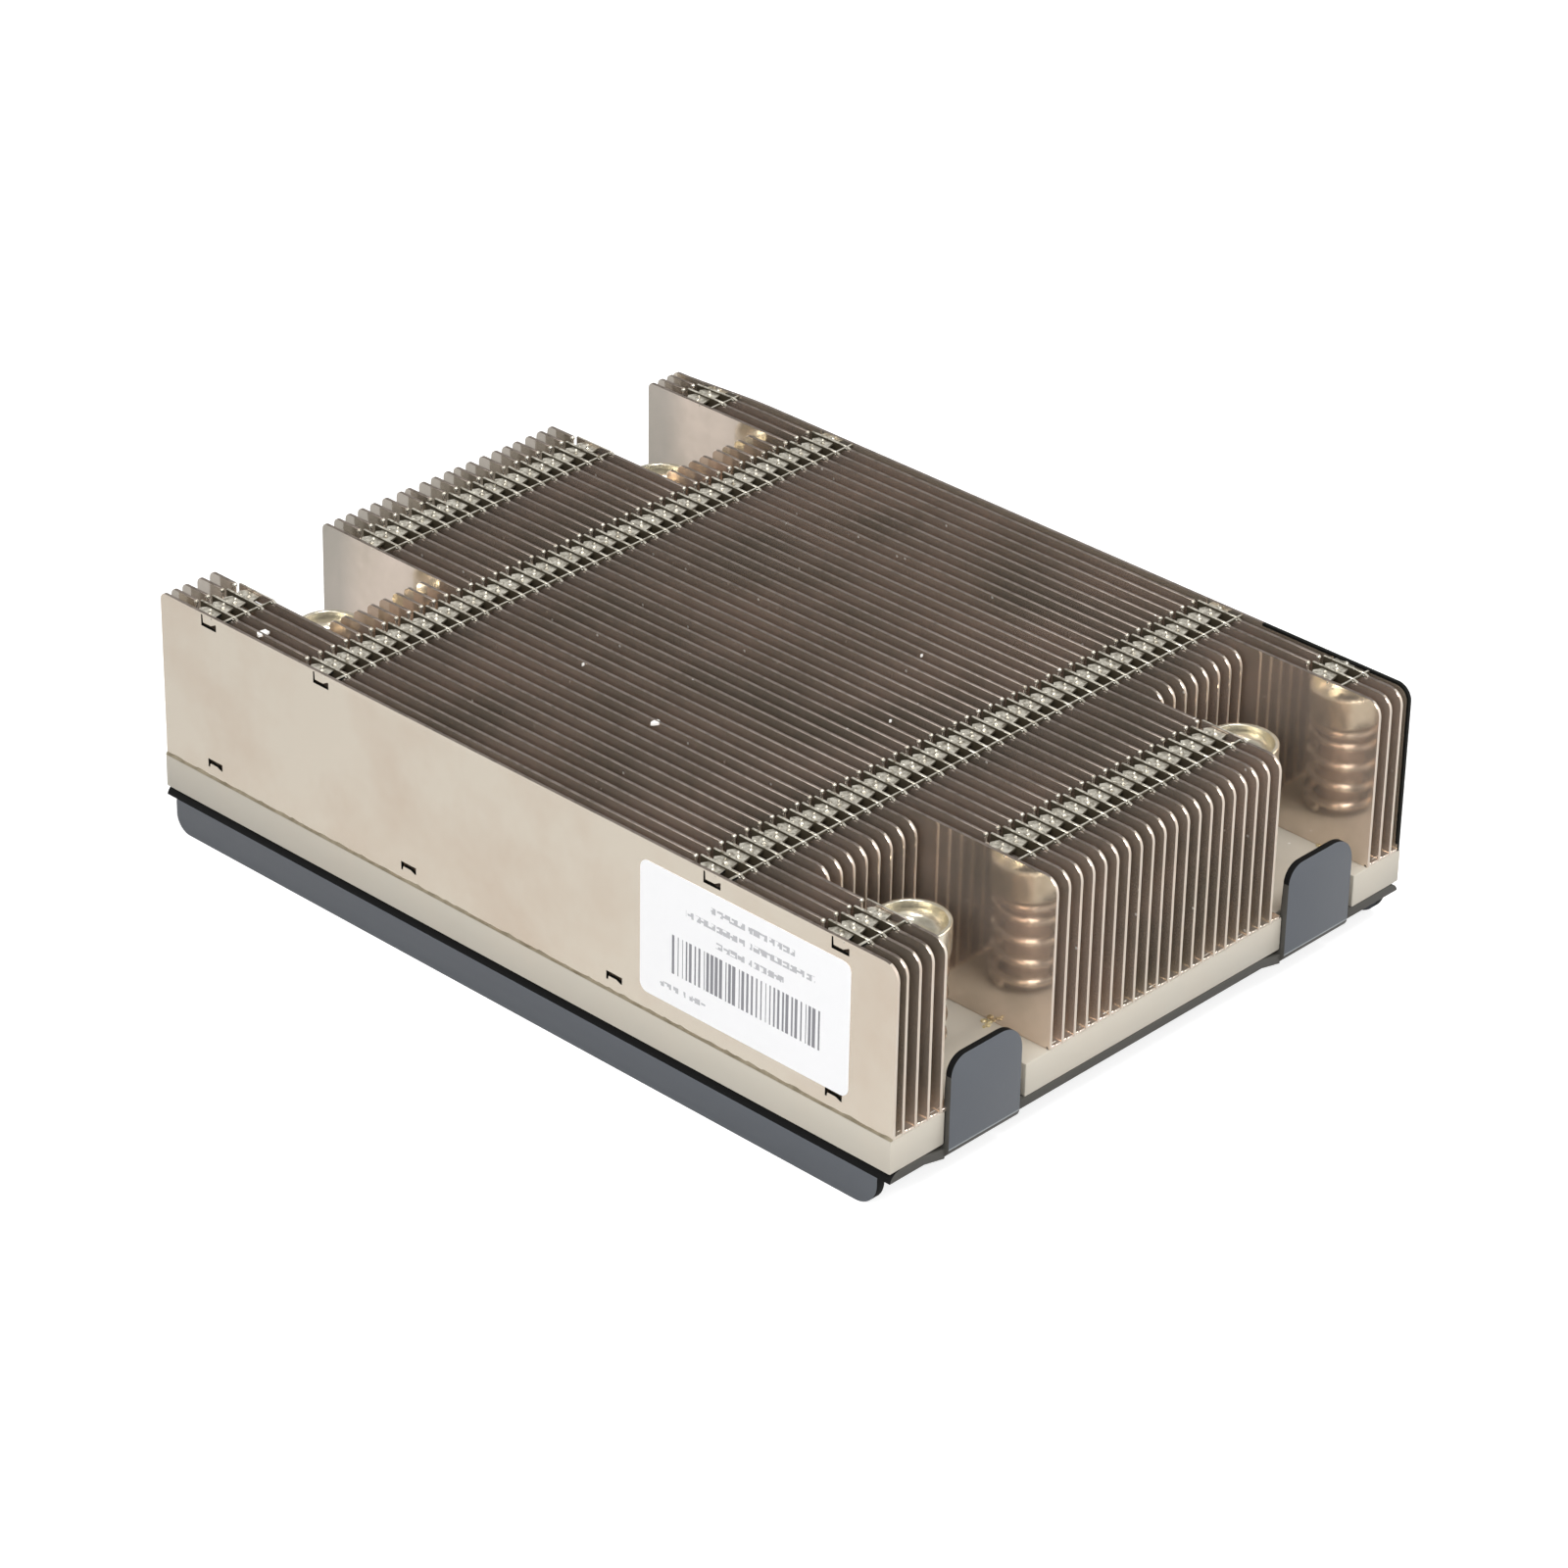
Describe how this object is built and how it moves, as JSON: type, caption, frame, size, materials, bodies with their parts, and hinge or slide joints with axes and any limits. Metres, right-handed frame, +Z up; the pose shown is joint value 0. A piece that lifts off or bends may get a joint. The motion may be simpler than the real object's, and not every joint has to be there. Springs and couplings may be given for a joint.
{
  "type": "server cpu heat sink",
  "caption": "Low passive heat sink for a server processor: folded sheet fins on a base plate, in a black steel frame with captive spring screws at its corners.",
  "frame": {"origin": "middle of the footprint, on the plane that the frame's side flanges stand on", "axes": "+Z up from the socket, +X across the fins from the labelled side to the far side, +Y along the fins from the end with the two tabs to the other end"},
  "size_m": [0.088, 0.119, 0.0316],
  "materials": {
    "fin_metal": "bright rolled sheet with a faint warm tone",
    "base_metal": "plated satin",
    "frame_black": "black electroplated steel sheet, satin",
    "screw_gold": "yellow zinc plating on steel, polished",
    "spring_steel": "bright spring wire",
    "ring_steel": "dark spring steel",
    "label_white": "blank white sticker"
  },
  "bodies": {
    "heat_sink": {"fin_01": "fin_metal", "fin_02": "fin_metal", "fin_03": "fin_metal", "fin_04": "fin_metal", "fin_05": "fin_metal", "fin_06": "fin_metal", "fin_07": "fin_metal", "fin_08": "fin_metal", "fin_09": "fin_metal", "fin_10": "fin_metal", "fin_11": "fin_metal", "fin_12": "fin_metal", "fin_13": "fin_metal", "fin_14": "fin_metal", "fin_15": "fin_metal", "fin_16": "fin_metal", "fin_17": "fin_metal", "fin_18": "fin_metal", "fin_19": "fin_metal", "fin_20": "fin_metal", "fin_21": "fin_metal", "fin_22": "fin_metal", "fin_23": "fin_metal", "fin_24": "fin_metal", "fin_25": "fin_metal", "fin_26": "fin_metal", "fin_27": "fin_metal", "fin_28": "fin_metal", "fin_29": "fin_metal", "fin_30": "fin_metal", "fin_31": "fin_metal", "fin_32": "fin_metal", "fin_33": "fin_metal", "fin_34": "fin_metal", "fin_35": "fin_metal", "fin_36": "fin_metal", "fin_37": "fin_metal", "fin_38": "fin_metal", "fin_39": "fin_metal", "fin_40": "fin_metal", "fin_41": "fin_metal", "fin_42": "fin_metal", "fin_43": "fin_metal", "fin_44": "fin_metal", "fin_45": "fin_metal", "base_plate": "base_metal", "mounting_frame": "frame_black", "label": "label_white", "spring_front_left": "spring_steel", "spring_front_right": "spring_steel", "spring_rear_left": "spring_steel", "spring_rear_right": "spring_steel"},
    "ring_front_left": {"retaining_ring_front_left": "ring_steel"},
    "screw_front_left": {"captive_screw_front_left": "screw_gold"},
    "ring_front_right": {"retaining_ring_front_right": "ring_steel"},
    "screw_front_right": {"captive_screw_front_right": "screw_gold"},
    "ring_rear_left": {"retaining_ring_rear_left": "ring_steel"},
    "screw_rear_left": {"captive_screw_rear_left": "screw_gold"},
    "ring_rear_right": {"retaining_ring_rear_right": "ring_steel"},
    "screw_rear_right": {"captive_screw_rear_right": "screw_gold"}
  },
  "joints": [
    {"name": "press_front_left", "type": "slide", "parent": "heat_sink", "child": "ring_front_left", "axis": [0, 0, 1], "range_m": [-0.003, 0], "stiffness_N_per_m": 6400, "deforming": ["spring_front_left"]},
    {"name": "turn_front_left", "type": "hinge", "parent": "ring_front_left", "child": "screw_front_left", "pos_m": [-0.028, -0.04673, 0.02], "axis": [0, 0, 1], "continuous": true},
    {"name": "press_front_right", "type": "slide", "parent": "heat_sink", "child": "ring_front_right", "axis": [0, 0, 1], "range_m": [-0.003, 0], "stiffness_N_per_m": 6400, "deforming": ["spring_front_right"]},
    {"name": "turn_front_right", "type": "hinge", "parent": "ring_front_right", "child": "screw_front_right", "pos_m": [0.028, -0.04673, 0.02], "axis": [0, 0, 1], "continuous": true},
    {"name": "press_rear_left", "type": "slide", "parent": "heat_sink", "child": "ring_rear_left", "axis": [0, 0, 1], "range_m": [-0.003, 0], "stiffness_N_per_m": 6400, "deforming": ["spring_rear_left"]},
    {"name": "turn_rear_left", "type": "hinge", "parent": "ring_rear_left", "child": "screw_rear_left", "pos_m": [-0.028, 0.04727, 0.02], "axis": [0, 0, 1], "continuous": true},
    {"name": "press_rear_right", "type": "slide", "parent": "heat_sink", "child": "ring_rear_right", "axis": [0, 0, 1], "range_m": [-0.003, 0], "stiffness_N_per_m": 6400, "deforming": ["spring_rear_right"]},
    {"name": "turn_rear_right", "type": "hinge", "parent": "ring_rear_right", "child": "screw_rear_right", "pos_m": [0.028, 0.04727, 0.02], "axis": [0, 0, 1], "continuous": true}
  ]
}
